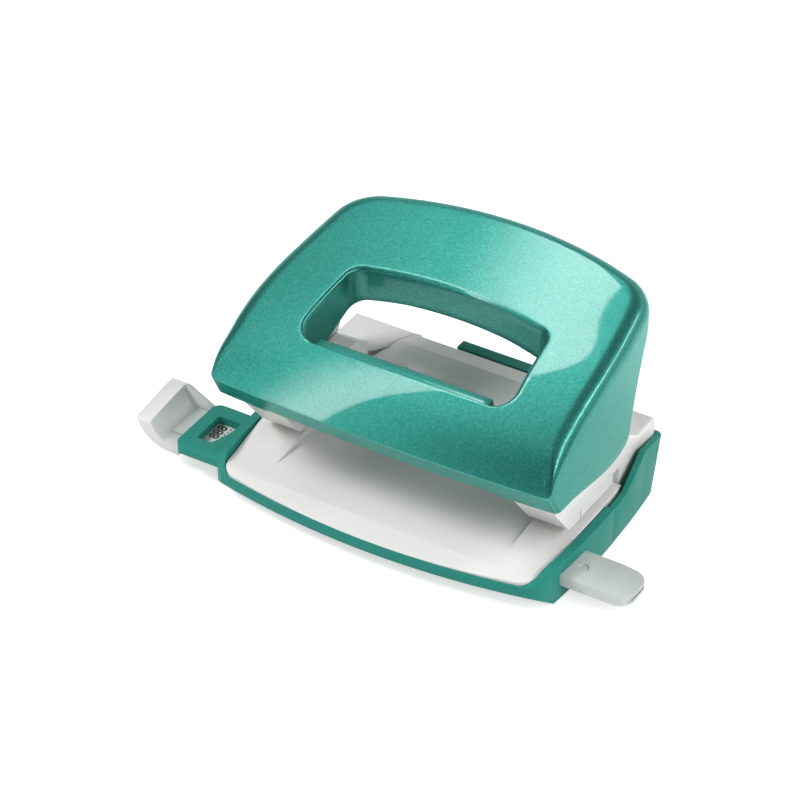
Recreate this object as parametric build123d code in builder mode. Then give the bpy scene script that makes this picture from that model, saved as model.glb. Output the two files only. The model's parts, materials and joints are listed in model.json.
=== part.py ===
"""Mini two-hole desk punch: pressed handle over a moulded head, paper table, chip drawer and paper guide.

Millimetres. X runs along the paper's edge, Y to the back and Z up. The origin is on the desk, under the
middle of the base, between its widest points.
"""
import os
from math import sqrt, radians, tan

from build123d import *

os.makedirs("parts", exist_ok=True)

# Punching, set by the two-hole filing standard
hole_spacing = 80.0
punch_d = 5.5
hole_margin = 12.0
throat = 1.9
run_clear = 0.05
gap = 0.3
seat = 0.1

# Base outline in plan
base_overhang = 10.35
base_half_w = hole_spacing / 2 + base_overhang
base_side_r = 255.0
base_wide_y = -2.0
base_front_y = -35.4
base_front_r = 214.0
base_corner_r = 6.0
base_wall = 1.7
front_lip_z = 8.0
front_face_h = 3.0
undercut = 5.5

# Base levels
foot_h = 0.5
floor_t = 1.4
deck_under_z = 6.9
deck_t = 1.3
table_t = 1.2
land_t = 1.1
rim_z = 11.5
rim_ramp_y = 12.0
rim_peak_y = 23.4
rim_peak_z = 17.6
rim_back_z = 15.0
seam_y = 5.2
lean_foot_y = 30.3
lean_slope = 0.42
tab_half_w = 14.0
tab_z = 20.0

# Paper table
table_inset = 2.85
table_half_w = base_half_w - table_inset
table_front_inset = 0.5
crease_back = 7.0
land_inset = 5.5
land_inner_x = hole_spacing / 2 - land_inset
land_rise_y = -22.0
land_full_y = -6.0

# Punching units
pin_y = 3.2
frame_w = 9.0
frame_t = 2.0
frame_front_y = -3.0
frame_back_y = 19.0
frame_upper_z = 20.3
ear_t = 2.0
ear_offset = 1.0
ear_inner_x = hole_spacing / 2 + ear_offset
die_r = 4.5
bush_r = 3.7
bush_flange_t = 1.0
pin_tip_rise = 0.6
cap_z = 33.0
cap_r = 4.4
cap_h = 2.5
cap_roof = 1.0
spring_wire_r = 0.4
spring_mean_r = 3.75
spring_turns = 6

# Handle hinge and its levers
pivot_y = 16.0
pivot_z = 31.0
pivot_r = 2.0
hub_r = 5.0
nose_r = 4.0
nose_w = 6.0
shelf_t = 1.6
arm_front_y = -2.0
arm_back_y = 9.0
arm_t = 1.4
arm_rise = 4.0

# Head housing
head_overhang = 5.8
head_half_w = hole_spacing / 2 + head_overhang
tower_inset = 6.0
tower_inner_x = hole_spacing / 2 - tower_inset
head_wall = 1.2
tower_tip_y = -10.6
tower_brow_y = -17.9
tower_brow_z = 22.6
shoulder_z = 25.0
shoulder_end_y = 17.9
head_top_z = 20.0
head_top_y = 26.0
middle_top_y = 30.0
head_back_y = 35.0
bulkhead_z = 31.0
bulkhead_end_y = 7.5
slit_y = -5.0
slit_w = 0.8
slit_h = 2.2
gusset_h = 3.0

# Handle
wall = 1.2
handle_overhang = 9.7
handle_half_w = hole_spacing / 2 + handle_overhang
handle_side_r = 260.0
handle_wide_y = -15.5
handle_draft = 1.7
handle_back_y = 43.8
handle_back_bow = 9.3
handle_corner_r = 14.0
handle_bow_r = 700.0
bend_r = 4.0
crown_len = 82.0
crown_rise = 27.5
lip_y = -29.9
lip_z = 35.7
band_y = -26.3
band_z = 29.0
band_step = 1.1
band_step_x = 33.0
skirt_z = 54.0
window_front_y = -18.0
window_front_x = 31.3
window_back_y = 8.2
window_back_x = 28.6
window_bow_y = 12.0
window_r = 5.0
collar_h = 9.4
fold_half_w = 22.0

# Paper guide
guide_y = -15.4
guide_w = 12.0
guide_z = 8.0
guide_h = 3.3
guide_web = 1.5
guide_runner = 1.4
guide_left_x = -67.0
guide_right_x = 68.6
grip_x = 60.7
grip_drop = 1.0
stop_left_x = -75.3
stop_right_x = -61.9
stop_top_w = 4.6
stop_front_y = -26.1
stop_back_y = -8.1
stop_front_z = 12.4
stop_back_z = 14.2
sleeve_x = -61.7
sleeve_front_y = -28.3
sleeve_back_y = -8.0
sleeve_z = 10.4
view_left_x = -58.0
view_right_x = -51.0
view_front_y = -23.2
view_back_y = -12.5
strip_t = 0.25
strip_end_x = 30.0

# Chip drawer, lock slider and small parts
tray_wall = 1.3
lock_side_gap = 0.8
lock_w = 19.0
lock_front_y = 20.9
lock_t = 1.4
lock_tongue_w = 6.5
lock_depth = 4.0
lock_travel = 4.0
foot_r = 5.0
foot_sink = 0.5
foot_edge_r = 0.3
front_foot_x = 34.0
front_foot_y = -16.0
mat_half_w = 40.0
mat_front_y = -5.0
mat_back_y = 26.0
mat_corner_r = 4.0
screw_r = 1.2
screw_head_r = 2.3
unit_screw_spread = 2.7
unit_screw_y = 12.6
head_screw_x = 20.0
head_screw_y = 25.5
boss_top_z = 17.6

# Derived levels and places
wide = 15.0 - stop_left_x
pin_x = hole_spacing / 2
pin_r = punch_d / 2
throat_end_y = pin_y + hole_margin
base_z = foot_h
floor_z = base_z + floor_t
deck_z = deck_under_z + deck_t
frame_z = deck_z + seat
frame_lower_top = frame_z + frame_t
frame_top = frame_upper_z + frame_t
table_mid_z = frame_z + table_t
land_z = frame_lower_top + seat + land_t
tower_z = land_z + throat
pin_tip_z = tower_z + pin_tip_rise
bush_top = frame_top + bush_flange_t
cap_top = cap_z + cap_h
nose_z = cap_top + run_clear
shelf_z = nose_z + seat + 0.9
guide_front = guide_y - guide_w / 2
guide_back = guide_y + guide_w / 2
guide_under_z = guide_z - guide_h
bulk_y = guide_back + gap
tray_front_y = bulk_y + tray_wall + gap
arm_inner_x = ear_inner_x + ear_t + 0.4
wall_back_y = head_back_y + gap
ledge_z = front_lip_z - table_t - seat
unit_screw_places = [(side * pin_x + shift, unit_screw_y)
                     for side in (-1, 1) for shift in (-unit_screw_spread, unit_screw_spread)]


def base_x(y, inset=0.0):
    """Half width of the base at y."""
    return base_half_w - base_side_r + sqrt((base_side_r - inset) ** 2 - (y - base_wide_y) ** 2)


def base_front(x, inset=0.0):
    """Front edge of the base at x."""
    return base_front_y + base_front_r - sqrt((base_front_r - inset) ** 2 - x ** 2)


def lean_y(z):
    """Outer face of the drawer's leaning back wall at height z."""
    return lean_foot_y + lean_slope * z


def base_plan(side_inset, front_inset, back_y, corner_r):
    """Plan with the base's bowed front and barrel sides, straight at the back."""
    corner_x = base_half_w - side_inset
    for _ in range(4):
        corner_x = base_x(base_front(corner_x, front_inset), side_inset)
    corner_y = base_front(corner_x, front_inset)
    back_x = base_x(back_y, side_inset)
    mid_y = (corner_y + back_y) / 2
    mid_x = base_x(mid_y, side_inset)
    with BuildSketch() as plan:
        with BuildLine():
            ThreePointArc((back_x, back_y), (mid_x, mid_y), (corner_x, corner_y))
            ThreePointArc((corner_x, corner_y), (0, base_front(0, front_inset)), (-corner_x, corner_y))
            ThreePointArc((-corner_x, corner_y), (-mid_x, mid_y), (-back_x, back_y))
            Line((-back_x, back_y), (back_x, back_y))
        make_face()
        fillet(plan.vertices().group_by(Axis.Y)[0], corner_r)
    return plan.sketch


def side_prism(points, x_low, x_high):
    """Prism of a side-view outline of Y, Z points from x_low to x_high."""
    with BuildPart() as prism:
        with BuildSketch(Plane.YZ.offset(x_low)):
            with BuildLine():
                Polyline(*points, close=True)
            make_face()
        extrude(amount=x_high - x_low)
    return prism.part


def block(x0, x1, y0, y1, z0, z1):
    """Block between two corners."""
    with BuildPart() as solid:
        with Locations(((x0 + x1) / 2, (y0 + y1) / 2, (z0 + z1) / 2)):
            Box(x1 - x0, y1 - y0, z1 - z0)
    return solid.part


def upright(x, y, z0, z1, radius):
    """Upright round rod."""
    with BuildPart() as solid:
        with BuildSketch(Plane.XY.offset(z0)):
            with Locations((x, y)):
                Circle(radius)
        extrude(amount=z1 - z0)
    return solid.part


def plan_prism(plan, z0, z1):
    """Prism of a plan sketch between two heights."""
    with BuildPart() as solid:
        with BuildSketch(Plane.XY.offset(z0)):
            add(plan)
        extrude(amount=z1 - z0)
    return solid.part


def deck_screw(x, y, tip_z):
    """Countersunk screw from below the deck."""
    with BuildPart() as screw:
        add(upright(x, y, deck_under_z, tip_z, screw_r))
        with BuildSketch(Plane.XY.offset(deck_under_z)):
            with Locations((x, y)):
                Circle(screw_head_r)
        with BuildSketch(Plane.XY.offset(deck_z - 0.1)):
            with Locations((x, y)):
                Circle(screw_r)
        loft()
    return screw.part


def both(solid):
    """A solid on the right and its mirror image on the left."""
    return [solid, solid.mirror(Plane.YZ)]


def save(part, label):
    part.label = label
    export_step(part, f"parts/{label}.step")


def save_pair(part, label):
    save(part, label + "_right")
    save(part.mirror(Plane.YZ), label + "_left")


# Space above the rim, as seen from the side
rim_line = [
    (base_front_y - 2, front_lip_z),
    (base_front_y + 5.0, front_lip_z),
    (base_front_y + 9.5, rim_z),
    (rim_ramp_y, rim_z),
    (rim_peak_y, rim_peak_z),
    (wall_back_y, rim_back_z),
    (wall_back_y + 9, rim_back_z - 2.0),
]
above_rim = side_prism(rim_line + [(wall_back_y + 9, 60), (base_front_y - 2, 60)], -wide, wide)

# Front undercut, which follows the bowed front
undercut_top = front_lip_z - front_face_h
bow_axis = Axis((0, base_front_y + base_front_r, 0), (0, 0, 1))
bow_swing = 15
with BuildSketch(Plane.YZ) as wedge:
    with BuildLine():
        Polyline(
            (base_front_y - 3, base_z - 1),
            (base_front_y - 3, undercut_top),
            (base_front_y, undercut_top),
            (base_front_y + undercut, base_z),
            (base_front_y + undercut, base_z - 1),
            close=True,
        )
    make_face()
with BuildPart() as front_undercut:
    revolve(wedge.sketch.rotate(bow_axis, -bow_swing), axis=bow_axis, revolution_arc=2 * bow_swing)

# Guide bar space through sleeve, base and walls
guide_way = block(-wide, wide, guide_front - gap, guide_back + gap, guide_under_z - seat, guide_z + seat)

# Base shell: front body, deck over the chip drawer, sleeve for the guide
body_plan = base_plan(0, 0, seam_y, base_corner_r)
body_well = base_plan(base_wall + 0.7, base_wall, seam_y + 5, base_corner_r - base_wall)
table_half_plan = base_half_w - table_half_w - gap
table_well = base_plan(table_half_plan, table_front_inset, seam_y + 5, base_corner_r - table_front_inset)
deck_end_y = lean_y(deck_under_z) - base_wall - gap - 0.5
deck_half_w = head_half_w
sleeve_profile = [
    (sleeve_front_y + 4.5, floor_z + 1.6),
    (sleeve_front_y, undercut_top + 2.6),
    (sleeve_front_y, sleeve_z),
    (sleeve_back_y, sleeve_z),
    (sleeve_back_y, floor_z + 1.6),
]

with BuildPart() as base_shell:
    add(plan_prism(body_plan, base_z, rim_z + 1))
    add(plan_prism(body_well, floor_z, rim_z + 2), mode=Mode.SUBTRACT)
    add(block(-base_half_w + 3, base_half_w - 3, bulk_y, bulk_y + tray_wall, floor_z - 0.2, deck_z))
    add(block(-base_half_w + 2, base_half_w - 2, bulk_y, seam_y, deck_under_z, deck_z))
    with BuildSketch(Plane.XY.offset(base_z - 1)):
        with Locations((0, (tray_front_y - gap + seam_y + 5) / 2)):
            Rectangle(2 * (base_x(seam_y) - base_wall - 0.7), seam_y + 5 - tray_front_y + gap)
    extrude(amount=deck_under_z - base_z + 1, mode=Mode.SUBTRACT)
    add(block(-deck_half_w, deck_half_w, bulk_y, deck_end_y, deck_under_z, deck_z))
    for rail_y in (guide_front + guide_runner / 2, guide_back - guide_runner / 2):
        half = guide_runner / 2 + 0.3
        add(block(-base_half_w + 2, base_half_w - 2, rail_y - half, rail_y + half,
                  floor_z - 0.2, guide_under_z - seat))
    # Ledge that carries the table's front edge
    add(plan_prism(body_plan - base_plan(base_wall + 2.5, base_wall + 2.5, seam_y + 1, 3.0),
                   ledge_z - 1.2, ledge_z) - block(-wide, wide, bulk_y, wide, 0, wide))
    add(side_prism(sleeve_profile, sleeve_x, -base_half_w + 3.2))
    sleeve_corners = base_shell.edges().filter_by(Axis.Z).group_by(Axis.X)[0]
    fillet(sleeve_corners, 2.5)
    add(plan_prism(table_well, deck_z, rim_z + 2), mode=Mode.SUBTRACT)
    add(plan_prism(table_well, ledge_z, deck_z + 1) - block(-wide, wide, bulk_y, wide, 0, wide),
        mode=Mode.SUBTRACT)
    add(above_rim, mode=Mode.SUBTRACT)
    add(front_undercut.part, mode=Mode.SUBTRACT)
    add(guide_way, mode=Mode.SUBTRACT)
    # Viewing window over the format strip, rounded at the side nearest the paper
    with BuildSketch(Plane.XY.offset(guide_z)) as view:
        with BuildLine():
            Polyline((view_left_x, view_front_y), (view_left_x, view_back_y), (view_right_x, view_back_y))
            ThreePointArc(
                (view_right_x, view_back_y),
                (view_right_x - 0.6, (view_front_y + view_back_y) / 2),
                (view_right_x - 2.6, view_front_y),
            )
            Line((view_right_x - 2.6, view_front_y), (view_left_x, view_front_y))
        make_face()
        fillet(view.vertices(), 0.8)
    extrude(amount=sleeve_z, mode=Mode.SUBTRACT)
    # Holes under the dies, and countersunk screw holes in the deck
    for side in (-1, 1):
        add(upright(side * pin_x, pin_y, deck_under_z - 1, deck_z + 1, die_r - 0.7), mode=Mode.SUBTRACT)
    for x, y in unit_screw_places + [(-head_screw_x, head_screw_y), (head_screw_x, head_screw_y)]:
        add(deck_screw(x, y, deck_z + 1), mode=Mode.SUBTRACT)
    for foot_x in (-front_foot_x, front_foot_x):
        add(upright(foot_x, front_foot_y, base_z - 1, base_z + foot_sink, foot_r), mode=Mode.SUBTRACT)
save(base_shell.part, "base_shell")


# Paper table: thin skin with a lead-in slope, raised lands at the dies and skirt at the front
table_end_y = throat_end_y - 0.2
table_front_z = front_lip_z
table_plan = base_plan(base_half_w - table_half_w, table_front_inset + 0.1, table_end_y, base_corner_r - 0.6)
table_top = [
    (base_front_y - 1, table_front_z),
    (base_front_y + 0.6, table_front_z),
    (base_front_y + crease_back, table_mid_z),
    (table_end_y + 1, table_mid_z),
    (table_end_y + 1, 40),
    (base_front_y - 1, 40),
]
table_under = [
    (base_front_y - 1, front_lip_z - table_t),
    (base_front_y + 2.5, front_lip_z - table_t),
    (guide_front - 2.0, guide_z + gap),
    (table_end_y + 1, guide_z + gap),
    (table_end_y + 1, 0),
    (base_front_y - 1, 0),
]
land_top = [
    (land_rise_y, table_mid_z - 0.4),
    (land_rise_y, table_mid_z),
    (land_full_y, land_z),
    (table_end_y, land_z),
    (table_end_y, table_mid_z - 0.4),
]
with BuildPart() as lands:
    add(plan_prism(table_plan, table_mid_z - 1, land_z + 1))
    add(side_prism(land_top, -wide, wide), mode=Mode.INTERSECT)
    add(block(-land_inner_x, land_inner_x, -wide, wide, 0, wide), mode=Mode.SUBTRACT)
with BuildPart() as paper_table:
    add(plan_prism(table_plan, front_lip_z - table_t - 0.5, land_z + 1))
    add(side_prism(table_top, -wide, wide), mode=Mode.SUBTRACT)
    add(side_prism(table_under, -wide, wide), mode=Mode.SUBTRACT)
    add(lands.part)
    for side in (-1, 1):
        # Recess over the punching unit's lower leg, and the hole round the die
        add(block(side * pin_x - frame_w / 2 - gap, side * pin_x + frame_w / 2 + gap,
                  frame_front_y - gap, table_end_y + 1, guide_z, frame_lower_top + seat), mode=Mode.SUBTRACT)
        add(upright(side * pin_x, pin_y, guide_z, land_z + 1, die_r + seat), mode=Mode.SUBTRACT)
save(paper_table.part, "paper_table")


# Punching units: a C of folded steel with an ear for the handle's pivot, one over each hole
unit_low_x = pin_x - frame_w / 2
unit_high_x = pin_x + frame_w / 2
c_outline = [
    (frame_front_y, frame_z),
    (frame_back_y, frame_z),
    (frame_back_y, frame_top),
    (frame_front_y, frame_top),
    (frame_front_y, frame_upper_z),
    (frame_back_y - frame_t, frame_upper_z),
    (frame_back_y - frame_t, frame_lower_top),
    (frame_front_y, frame_lower_top),
]
ear_foot = 8.0
with BuildPart() as punch_frame:
    add(side_prism(c_outline, unit_low_x, unit_high_x))
    folds = punch_frame.edges().filter_by(Axis.X).filter_by_position(
        Axis.Y, frame_back_y - 0.1, frame_back_y + 0.1)
    fillet(folds, frame_t)
    with BuildSketch(Plane.YZ.offset(ear_inner_x)):
        with BuildLine():
            Polyline(
                (pivot_y - ear_foot, frame_top - 0.5),
                (frame_back_y - frame_t, frame_top - 0.5),
                (pivot_y + hub_r, pivot_z - 3.0),
                (pivot_y + hub_r, pivot_z),
            )
            ThreePointArc((pivot_y + hub_r, pivot_z), (pivot_y, pivot_z + hub_r), (pivot_y - hub_r, pivot_z))
            Line((pivot_y - hub_r, pivot_z), (pivot_y - ear_foot, frame_top - 0.5))
        make_face()
    extrude(amount=ear_t)
    with BuildSketch(Plane.YZ.offset(ear_inner_x)):
        with Locations((pivot_y, pivot_z)):
            Circle(pivot_r)
    extrude(amount=ear_t, mode=Mode.SUBTRACT)
    add(upright(pin_x, pin_y, frame_z - 1, frame_lower_top + 1, die_r - 0.6), mode=Mode.SUBTRACT)
    add(upright(pin_x, pin_y, frame_upper_z - 1, frame_top + 1, bush_r), mode=Mode.SUBTRACT)
    for shift in (-unit_screw_spread, unit_screw_spread):
        add(upright(pin_x + shift, unit_screw_y, frame_z - 1, frame_lower_top + 1, screw_r),
            mode=Mode.SUBTRACT)
save_pair(punch_frame.part, "punch_frame")

# Die: hardened ring in the lower leg, flush with the land, relieved below the cutting edge
with BuildPart() as die:
    add(upright(pin_x, pin_y, frame_lower_top, land_z, die_r))
    add(upright(pin_x, pin_y, frame_z, frame_lower_top, die_r - 0.6))
    add(upright(pin_x, pin_y, frame_z - 1, land_z + 1, pin_r + run_clear), mode=Mode.SUBTRACT)
save_pair(die.part, "die")

# Pin guide: flanged bush in the upper leg
with BuildPart() as pin_guide:
    add(upright(pin_x, pin_y, tower_z + head_wall, bush_top, bush_r))
    add(upright(pin_x, pin_y, frame_top, bush_top, die_r))
    add(upright(pin_x, pin_y, tower_z, bush_top + 1, pin_r + run_clear), mode=Mode.SUBTRACT)
save_pair(pin_guide.part, "pin_guide")

# Punch pin with a hollow-ground tip that cuts from two sides
with BuildPart() as punch_pin:
    add(upright(pin_x, pin_y, pin_tip_z, cap_top - cap_roof, pin_r))
    with BuildSketch(Plane.XZ.offset(-pin_y + pin_r + 1)):
        with Locations((pin_x, pin_tip_z - 2.6)):
            Circle(3.6)
    extrude(amount=-2 * pin_r - 2, mode=Mode.SUBTRACT)
save_pair(punch_pin.part, "punch_pin")

# Cap pressed on the pin's head, which carries the spring below and meets the lever above
with BuildPart() as pin_cap:
    add(upright(pin_x, pin_y, cap_z, cap_top, cap_r))
    fillet(pin_cap.edges().filter_by(GeomType.CIRCLE).sort_by(Axis.Z)[-1], 0.6)
    add(upright(pin_x, pin_y, cap_z - 1, cap_top - cap_roof, pin_r), mode=Mode.SUBTRACT)
save_pair(pin_cap.part, "pin_cap")

# Return spring round the pin, between the guide's flange and the cap
spring_low = bush_top + run_clear
spring_len = cap_z - run_clear - spring_low
spring_pitch = (spring_len - 2 * spring_wire_r) / spring_turns
with BuildPart() as return_spring:
    with BuildLine(Plane.XY.offset(spring_low + spring_wire_r)) as coil:
        Helix(spring_pitch, spring_pitch * spring_turns, spring_mean_r)
    with BuildSketch(Plane(origin=coil.line @ 0, z_dir=coil.line % 0)):
        Circle(spring_wire_r)
    sweep(is_frenet=True)
coil_solid = return_spring.part.translate((pin_x, pin_y, 0))
save_pair(coil_solid, "return_spring")

# Pivot pin: stub through the ear into the lever's hub, with a flat head inside
with BuildPart() as pivot_pin:
    with BuildSketch(Plane.YZ.offset(ear_inner_x)):
        with Locations((pivot_y, pivot_z)):
            Circle(pivot_r)
    extrude(amount=arm_inner_x + 1.4 - ear_inner_x)
    with BuildSketch(Plane.YZ.offset(ear_inner_x - 0.9)):
        with Locations((pivot_y, pivot_z)):
            Circle(pivot_r + 1.0)
    extrude(amount=0.9)
save_pair(pivot_pin.part, "pivot_pin")

# Handle: bowed plate over barrel-sided flanges, drafted and bent down all round
plate_axis = Axis((0, lip_y + handle_bow_r, 0), (0, 0, 1))
plate_swing = 6
crown = [
    (lip_y, lip_z),
    (lip_y + 2.6, lip_z + 5.3),
    (lip_y + 11.5, lip_z + 13.0),
    (lip_y + 23.4, lip_z + 17.6),
    (lip_y + 42.0, lip_z + 21.3),
    (lip_y + 62.0, lip_z + 25.1),
    (lip_y + crown_len, lip_z + crown_rise),
]
flange_low = [
    (lip_y + crown_len, skirt_z),
    (28.6, skirt_z),
    (25.9, 51.0),
    (23.6, 48.2),
    (18.9, 42.4),
    (14.2, 36.0),
    (10.9, 31.4),
    (9.4, 28.9),
    (4.2, 26.5),
    (-3.2, 26.1),
    (-10.7, 26.7),
    (-19.9, 28.3),
    (band_y + 1.2, band_z + 0.2),
    (band_y, band_z + 0.5),
]
shoulder_y = handle_back_y - handle_back_bow
plan_top_z = lip_z + crown_rise + 12.5
plan_low_z = lip_z - 20.0
crease_z = lip_z + 14.0
draft_run = tan(radians(handle_draft))


def handle_x(y):
    """Half width of the handle's crease at y."""
    return handle_half_w - handle_side_r + sqrt(handle_side_r ** 2 - (y - handle_wide_y) ** 2)


def crown_line(inset):
    """The plate's side-view curve, inset from the outer face and mitred at the lip."""
    line = Spline(*crown)
    if not inset:
        return line
    inner = []
    for share in (0.0, 0.1, 0.22, 0.4, 0.6, 0.8, 1.0):
        tangent = line % share
        inner.append(line @ share + Vector(tangent.Y, -tangent.X) * inset)
    band = Vector(band_y - lip_y, band_z - lip_z).normalized()
    start = line % 0
    plate_normal = Vector(start.Y, -start.X)
    band_normal = Vector(-band.Y, band.X)
    inner[0] = line @ 0 + (plate_normal + band_normal) * (inset / (1 + plate_normal.dot(band_normal)))
    return Spline(*inner)


def handle_form(inset):
    """The handle's outer form, or the hollow inside it, inset by the sheet and open below."""
    top_line = crown_line(inset)
    lip_point = top_line @ 0
    if inset:
        band_run = (band_y - lip_y) / (lip_z - band_z)
        lower = [(lip_y + crown_len, plan_low_z),
                 (lip_point.X + band_run * (lip_point.Y - plan_low_z), plan_low_z)]
    else:
        lower = flange_low
    with BuildSketch(Plane.YZ) as side:
        with BuildLine():
            add(top_line)
            Polyline(top_line @ 1, *lower, lip_point)
        make_face()
    with BuildSketch() as plan:
        front = lip_y - 8.0
        middle = (front + shoulder_y) / 2
        with BuildLine():
            ThreePointArc((handle_x(shoulder_y), shoulder_y), (handle_x(middle), middle),
                          (handle_x(front), front))
            Line((handle_x(front), front), (-handle_x(front), front))
            ThreePointArc((-handle_x(front), front), (-handle_x(middle), middle),
                          (-handle_x(shoulder_y), shoulder_y))
            ThreePointArc((-handle_x(shoulder_y), shoulder_y), (0, handle_back_y),
                          (handle_x(shoulder_y), shoulder_y))
        make_face()
        fillet(plan.vertices().group_by(Axis.Y)[-1], handle_corner_r)
    with BuildPart() as sides:
        for z in (plan_low_z, plan_top_z):
            with BuildSketch(Plane.XY.offset(z)):
                add(plan.sketch)
                offset(amount=draft_run * (crease_z - z) - inset, kind=Kind.INTERSECTION)
        loft(ruled=True)
    with BuildPart() as form:
        revolve(side.sketch.rotate(plate_axis, -plate_swing), axis=plate_axis,
                revolution_arc=2 * plate_swing)
        add(sides.part, mode=Mode.INTERSECT)
        plate = form.faces().sort_by(SortBy.AREA)[-1]
        bends = plate.edges().filter_by(lambda edge: edge.center().Y > lip_y + 10)
        fillet(bends, bend_r - inset)
    return form.part


outer_form = handle_form(0)
inner_form = handle_form(wall)
mid_form = handle_form(wall / 2)

# Finger window with a drawn collar on three sides and a folded edge in front
def window_plan(grow):
    """Plan of the finger window, grown outwards."""
    with BuildSketch() as plan:
        with BuildLine():
            Polyline((-window_back_x, window_back_y), (-window_front_x, window_front_y),
                     (window_front_x, window_front_y), (window_back_x, window_back_y))
            ThreePointArc((window_back_x, window_back_y), (0, window_bow_y),
                          (-window_back_x, window_back_y))
        make_face()
        fillet(plan.vertices(), window_r)
        if grow:
            offset(amount=grow)
    return plan.sketch


window_hole = plan_prism(window_plan(0), skirt_z - 20, plan_top_z)
with BuildPart() as collar:
    add(plan_prism(window_plan(wall), skirt_z - 20, plan_top_z))
    add(mid_form, mode=Mode.INTERSECT)
    add(outer_form.translate((0, 0, -collar_h)), mode=Mode.SUBTRACT)
    add(block(-fold_half_w - 1, fold_half_w + 1, lip_y, window_front_y + window_r, 0, plan_top_z),
        mode=Mode.SUBTRACT)

fold_outline = [
    (window_front_y - 1.0, 47.2),
    (window_front_y + 5.6, 43.4),
    (window_front_y + 5.6, 44.9),
    (window_front_y + 0.2, 48.4),
]
with BuildPart() as handle_shell:
    add(outer_form)
    add(inner_form, mode=Mode.SUBTRACT)
    add(collar.part)
    add(window_hole, mode=Mode.SUBTRACT)
    add(side_prism(fold_outline, -fold_half_w, fold_half_w))
    # The lip band is shallower between the towers
    add(block(-band_step_x, band_step_x, lip_y - 5, band_y + 8, 0, band_z + band_step), mode=Mode.SUBTRACT)
save(handle_shell.part, "handle_shell")

# Lever: folded steel arm welded inside the flange, with a hub on the pivot and a shelf over the pin
hollow = handle_form(wall + 0.03)
shelf_inner_x = pin_x - nose_w / 2 - 0.8
shelf_end_y = pin_y + 4.8
with BuildPart() as lever:
    with BuildSketch(Plane.YZ.offset(arm_inner_x)):
        with BuildLine():
            Polyline(
                (pivot_y, pivot_z + hub_r),
                (arm_back_y, shelf_z + arm_rise),
                (arm_front_y, shelf_z + arm_rise),
                (arm_front_y, shelf_z),
                (shelf_end_y, shelf_z),
                (pivot_y - hub_r, pivot_z),
            )
            ThreePointArc((pivot_y - hub_r, pivot_z), (pivot_y, pivot_z - hub_r), (pivot_y + hub_r, pivot_z))
            ThreePointArc((pivot_y + hub_r, pivot_z), (pivot_y + hub_r * 0.707, pivot_z + hub_r * 0.707),
                          (pivot_y, pivot_z + hub_r))
        make_face()
    extrude(amount=arm_t)
    # Foot that reaches out to the flange
    add(block(arm_inner_x, handle_half_w, arm_front_y, arm_back_y, shelf_z, shelf_z + arm_rise))
    add(hollow, mode=Mode.INTERSECT)
    add(block(shelf_inner_x, arm_inner_x + 1.0, arm_front_y, shelf_end_y, shelf_z, shelf_z + shelf_t))
    with BuildSketch(Plane.YZ.offset(arm_inner_x - 1)):
        with Locations((pivot_y, pivot_z)):
            Circle(pivot_r + run_clear)
    extrude(amount=10, mode=Mode.SUBTRACT)
save_pair(lever.part, "lever")

# Press pad: slippery nose under the shelf that rolls on the cap
nose_half = 2.4
nose_rise = nose_r - sqrt(nose_r ** 2 - nose_half ** 2)
with BuildPart() as press_pad:
    with BuildSketch(Plane.YZ.offset(pin_x - nose_w / 2)):
        with BuildLine():
            ThreePointArc((pin_y - nose_half, nose_z + nose_rise), (pin_y, nose_z),
                          (pin_y + nose_half, nose_z + nose_rise))
            Polyline((pin_y + nose_half, nose_z + nose_rise), (pin_y + nose_half, shelf_z),
                     (pin_y - nose_half, shelf_z), (pin_y - nose_half, nose_z + nose_rise))
        make_face()
    extrude(amount=nose_w)
save_pair(press_pad.part, "press_pad")

# Head: two hollow towers over the punching units, joined by a low housing behind the throat
back_lean = base_wall + gap + 0.6
back_break_z = (head_back_y + back_lean - lean_foot_y) / lean_slope
head_foot_y = lean_y(frame_z) - back_lean
tower_outline = [
    (tower_tip_y, tower_z),
    (tower_brow_y, tower_brow_z),
    (tower_brow_y, shoulder_z),
    (shoulder_end_y, shoulder_z),
    (head_top_y, head_top_z),
    (head_back_y, head_top_z),
    (head_back_y, back_break_z),
    (head_foot_y, frame_z),
    (throat_end_y, frame_z),
    (throat_end_y, tower_z),
]
middle_outline = [
    (throat_end_y + 0.6, frame_z),
    (throat_end_y + 0.6, table_mid_z + 4.3),
    (middle_top_y, head_top_z),
    (head_back_y, head_top_z),
    (head_back_y, back_break_z),
    (head_foot_y, frame_z),
]


def hollow_prism(points, x_low, x_high):
    """The room inside a side-view outline, one wall in and open at the foot."""
    foot_front = throat_end_y + 0.6 + head_wall
    with BuildPart() as room:
        with BuildSketch(Plane.YZ.offset(x_low)):
            with BuildLine():
                Polyline(*points, close=True)
            make_face()
            offset(amount=-head_wall, kind=Kind.INTERSECTION)
            with BuildLine():
                Polyline((foot_front, frame_z - 1), (head_foot_y - head_wall, frame_z - 1),
                         (head_foot_y - head_wall, frame_z + 2), (foot_front, frame_z + 2), close=True)
            make_face()
        extrude(amount=x_high - x_low)
    return room.part


lock_left_x = lock_side_gap - head_half_w
lock_right_x = lock_left_x + lock_w
lock_floor_z = head_top_z - lock_depth


def lock_plan(grow):
    """Plan of the lock slider: rounded thumb edge in front, straight at the left and the back."""
    with BuildSketch() as plan:
        with BuildLine():
            ThreePointArc((lock_left_x, lock_front_y + 1.6), (lock_left_x + 5.0, lock_front_y),
                          (lock_left_x + 10.5, lock_front_y + 1.8))
            ThreePointArc((lock_left_x + 10.5, lock_front_y + 1.8), (lock_left_x + 13.2, lock_front_y + 4.7),
                          (lock_left_x + 15.6, lock_front_y + 8.6))
            Polyline((lock_left_x + 15.6, lock_front_y + 8.6), (lock_right_x, head_back_y),
                     (lock_left_x, head_back_y), (lock_left_x, lock_front_y + 1.6))
        make_face()
        if grow:
            offset(amount=grow)
    return plan.sketch


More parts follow.
